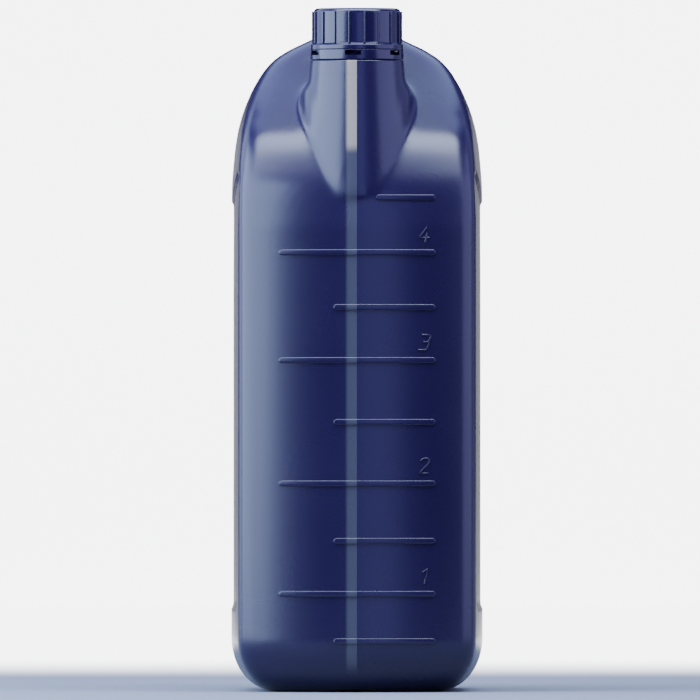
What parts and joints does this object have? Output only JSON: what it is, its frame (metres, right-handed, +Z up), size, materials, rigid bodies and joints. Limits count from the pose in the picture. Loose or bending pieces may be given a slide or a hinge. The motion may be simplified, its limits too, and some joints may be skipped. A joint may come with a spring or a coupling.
{
  "type": "motor oil bottle",
  "caption": "Blow-moulded plastic oil can with forward spout, rear grip handle, volume marks, ribbed screw cap and tamper band.",
  "frame": {"origin": "centre of the bounding box, on the plane of the base", "axes": "+Z up, -Y towards the graduated face and spout, +X to the right of someone facing that side"},
  "size_m": [0.1256, 0.163, 0.34],
  "materials": {
    "bottle_body": "satin",
    "cap": "satin",
    "wad": "matte"
  },
  "bodies": {
    "bottle": {"bottle": "bottle_body", "tamper_band": "cap"},
    "wad_carrier": {"sealing_wad": "wad"},
    "cap": {"screw_cap": "cap"}
  },
  "joints": [
    {"name": "cap_lift", "type": "slide", "parent": "bottle", "child": "wad_carrier", "axis": [0, 0, 1], "range_m": [0, 0.00668]},
    {"name": "cap_turn", "type": "hinge", "parent": "wad_carrier", "child": "cap", "pos_m": [0, -0.05135, 0.33], "axis": [0, 0, 1], "range_deg": [0, 600]}
  ],
  "couplings": [
    {"joint": "cap_lift", "follows": "cap_turn", "m_per_rad": 0.00063662}
  ]
}
